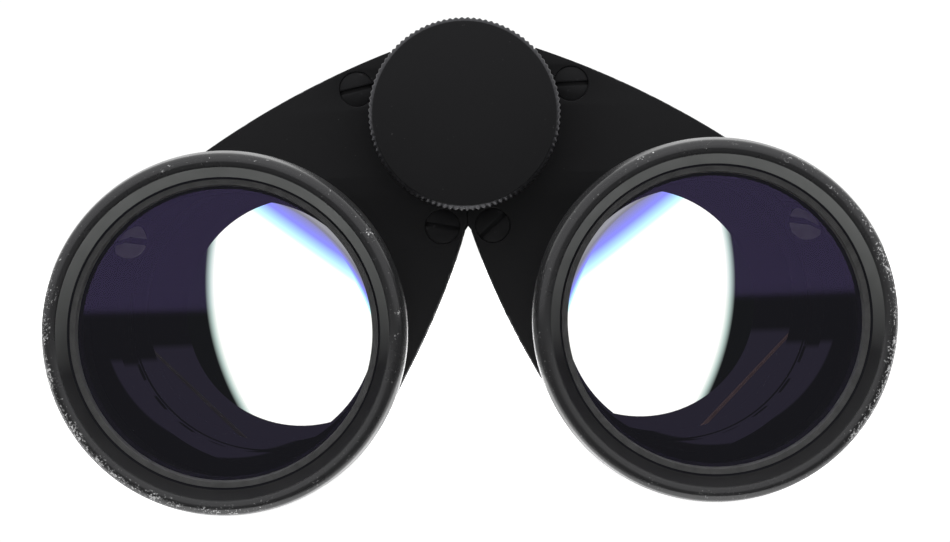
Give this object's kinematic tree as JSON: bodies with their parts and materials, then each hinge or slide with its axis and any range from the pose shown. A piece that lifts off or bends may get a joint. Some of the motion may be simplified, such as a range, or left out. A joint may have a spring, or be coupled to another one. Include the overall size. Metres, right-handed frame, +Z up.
{
  "type": "binoculars",
  "caption": "Compact centre-focus roof-prism binoculars with a front focus wheel, gloss black objective barrels, satin front plates and leatherette-covered housings.",
  "frame": {"origin": "middle of the footprint, on the surface that the two barrels lie on", "axes": "X across the two barrels, towards the user's left half; Y from the objectives to the eyepieces; +Z up, towards the hinge"},
  "size_m": [0.1006, 0.122, 0.0565],
  "materials": {
    "gloss_enamel": "gloss black enamel, worn at the rims",
    "satin_plate": "satin black",
    "anodised": "black anodised, satin",
    "inner_black": "matt black, anti-reflection",
    "black_screw": "blackened steel",
    "leather": "grained black leatherette",
    "lens_glass": "violet coated",
    "prism_glass": "polished",
    "steel": "turned",
    "brass": "turned",
    "rubber": "matt black"
  },
  "bodies": {
    "left_half": {"left_objective_barrel": "gloss_enamel", "left_objective_lens": "lens_glass", "left_lens_ring": "anodised", "left_front_plate": "satin_plate", "left_plate_screw_lower": "black_screw", "left_plate_screw_upper": "black_screw", "left_housing": "anodised", "left_leather_cover": "leather", "left_rear_plate": "satin_plate", "left_rear_screw_lower": "black_screw", "left_rear_screw_upper": "black_screw", "left_prism_mount": "inner_black", "left_guide_rod": "steel", "left_helper_prism": "prism_glass", "left_roof_prism": "prism_glass", "left_eyepiece_tube": "anodised", "left_strap_lug": "steel", "left_field_lens": "lens_glass", "left_eye_lens": "lens_glass", "left_eyepiece_collar": "anodised", "hinge_axle": "steel", "hinge_rear_cap": "satin_plate"},
    "right_half": {"right_objective_barrel": "gloss_enamel", "right_objective_lens": "lens_glass", "right_lens_ring": "anodised", "right_front_plate": "satin_plate", "right_plate_screw_lower": "black_screw", "right_plate_screw_upper": "black_screw", "right_housing": "anodised", "right_leather_cover": "leather", "right_rear_plate": "satin_plate", "right_rear_screw_lower": "black_screw", "right_rear_screw_upper": "black_screw", "right_prism_mount": "inner_black", "right_guide_rod": "steel", "right_helper_prism": "prism_glass", "right_roof_prism": "prism_glass", "right_eyepiece_tube": "anodised", "right_strap_lug": "steel"},
    "focus_knob": {"focus_wheel": "gloss_enamel", "wheel_face_disc": "satin_plate", "focus_spindle": "steel"},
    "left_focusing_lens": {"left_focus_carrier": "inner_black", "left_focus_lens": "lens_glass", "drive_nut": "brass"},
    "right_focusing_lens": {"right_focus_carrier": "inner_black", "right_focus_lens": "lens_glass"},
    "left_eyecup_sleeve": {"left_eyecup": "rubber"},
    "right_eyecup_sleeve": {"right_eyecup": "rubber"},
    "dioptre_ring": {"right_dioptre_ring": "anodised"},
    "right_ocular": {"right_field_lens": "lens_glass", "right_eye_lens": "lens_glass"}
  },
  "joints": [
    {"name": "eye_spacing_fold", "type": "hinge", "parent": "left_half", "child": "right_half", "pos_m": [0, 0.005, 0.045], "axis": [0, 1, 0], "range_deg": [0, 60]},
    {"name": "focus_turn", "type": "hinge", "parent": "left_half", "child": "focus_knob", "pos_m": [0, -0.03, 0.045], "axis": [0, 1, 0], "range_deg": [-270, 270]},
    {"name": "left_focus_travel", "type": "slide", "parent": "left_half", "child": "left_focusing_lens", "axis": [0, 1, 0], "range_m": [-0.003, 0.003]},
    {"name": "right_focus_travel", "type": "slide", "parent": "right_half", "child": "right_focusing_lens", "axis": [0, 1, 0], "range_m": [-0.003, 0.003]},
    {"name": "dioptre_turn", "type": "hinge", "parent": "right_half", "child": "dioptre_ring", "pos_m": [-0.02725, 0.038, 0.0203], "axis": [0, 1, 0], "range_deg": [-40, 40]},
    {"name": "right_ocular_travel", "type": "slide", "parent": "right_half", "child": "right_ocular", "axis": [0, 1, 0], "range_m": [-0.001, 0.001]},
    {"name": "left_eyecup_pull", "type": "slide", "parent": "left_half", "child": "left_eyecup_sleeve", "axis": [0, 1, 0], "range_m": [0, 0.006]},
    {"name": "right_eyecup_pull", "type": "slide", "parent": "right_half", "child": "right_eyecup_sleeve", "axis": [0, 1, 0], "range_m": [0, 0.006]}
  ],
  "couplings": [
    {"joint": "left_focus_travel", "follows": "focus_turn", "m_per_rad": 0.00063},
    {"joint": "right_focus_travel", "follows": "focus_turn", "m_per_rad": 0.00063},
    {"joint": "right_ocular_travel", "follows": "dioptre_turn", "m_per_rad": 0.00143}
  ]
}
